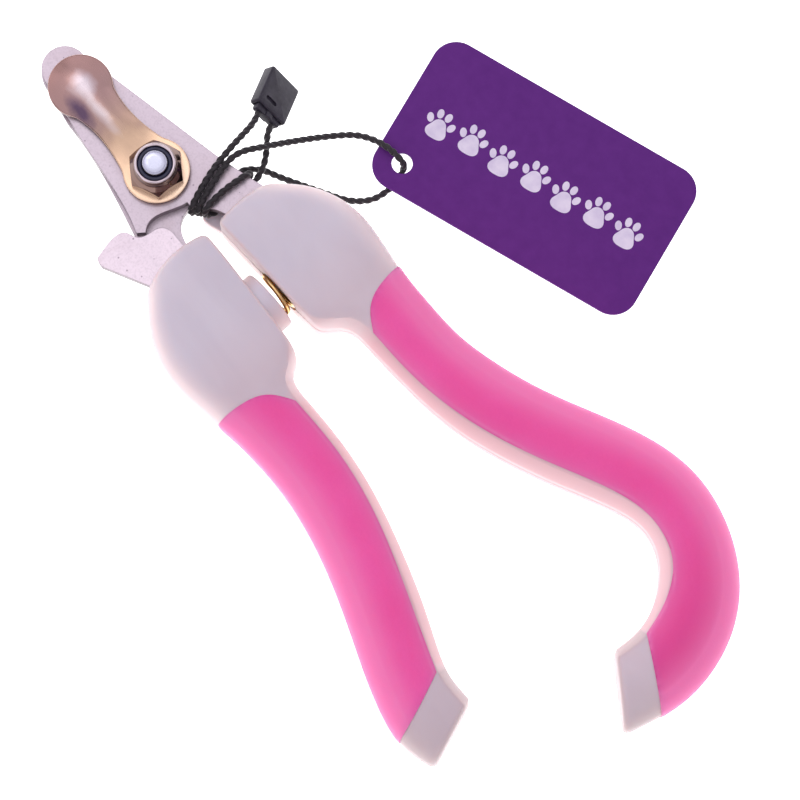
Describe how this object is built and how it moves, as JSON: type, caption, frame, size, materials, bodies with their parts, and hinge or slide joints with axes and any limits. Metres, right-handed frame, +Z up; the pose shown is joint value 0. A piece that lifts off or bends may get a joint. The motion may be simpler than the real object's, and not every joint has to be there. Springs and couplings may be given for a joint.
{
  "type": "scissor nail clipper",
  "caption": "Pet nail clipper with notched scissor blades, swinging nail guard, side latch, return spring, one straight and one hooked soft grip handle, and a corded hang tag",
  "frame": {"origin": "centre of the clipper's bounding box in plan, at the surface it lies on, without the tag, cord and seal", "axes": "+X along the length from the blade tips to the handle ends, +Y towards the hooked handle, +Z up from the surface, along the pivot's axis"},
  "size_m": [0.1738, 0.1158, 0.019],
  "materials": {
    "blade_steel": "fine ground stainless steel",
    "fastener_steel": "bright nickel plated steel",
    "guard_steel": "polished steel with heat tint",
    "insert_nylon": "nylon locking ring",
    "spring_brass": "drawn wire",
    "shell_plastic": "satin moulded white plastic",
    "grip_rubber": "matt pink soft moulding",
    "tag_card": "coated card printed purple on both faces",
    "cord_fibre": "twisted waxed cord",
    "seal_plastic": "moulded black plastic"
  },
  "bodies": {
    "straight_half": {"lower_blade": "blade_steel", "straight_top_shell": "shell_plastic", "straight_bottom_shell": "shell_plastic", "straight_grip": "grip_rubber", "straight_dowels": "fastener_steel", "pivot_bolt": "fastener_steel", "head_washer": "fastener_steel", "friction_washer": "fastener_steel", "lock_nut": "fastener_steel", "nut_insert": "insert_nylon", "latch_rivet": "fastener_steel", "latch_washer": "fastener_steel", "return_spring": "spring_brass"},
    "hooked_half": {"upper_blade": "blade_steel", "hooked_top_shell": "shell_plastic", "hooked_bottom_shell": "shell_plastic", "hooked_grip": "grip_rubber", "hooked_dowels": "fastener_steel", "hang_tag": "tag_card", "tag_cord": "cord_fibre", "seal_body": "seal_plastic", "seal_plug": "seal_plastic"},
    "guard": {"nail_guard": "guard_steel"},
    "latch": {"lock_latch": "blade_steel"}
  },
  "joints": [
    {"name": "blade_pivot", "type": "hinge", "parent": "straight_half", "child": "hooked_half", "pos_m": [-0.05528, 0.00022, 0.0105], "axis": [0, 0, 1], "range_deg": [0, 18], "deforming": ["return_spring"]},
    {"name": "guard_swing", "type": "hinge", "parent": "straight_half", "child": "guard", "pos_m": [-0.05528, 0.00022, 0.0115], "axis": [0, 0, 1], "range_deg": [-60, 60]},
    {"name": "latch_turn", "type": "hinge", "parent": "straight_half", "child": "latch", "pos_m": [-0.03428, -0.00818, 0.0091], "axis": [0, 0, 1], "range_deg": [0, 38]}
  ],
  "couplings": [
    {"joint": "latch_turn", "follows": "blade_pivot", "ratio": 2.1}
  ]
}
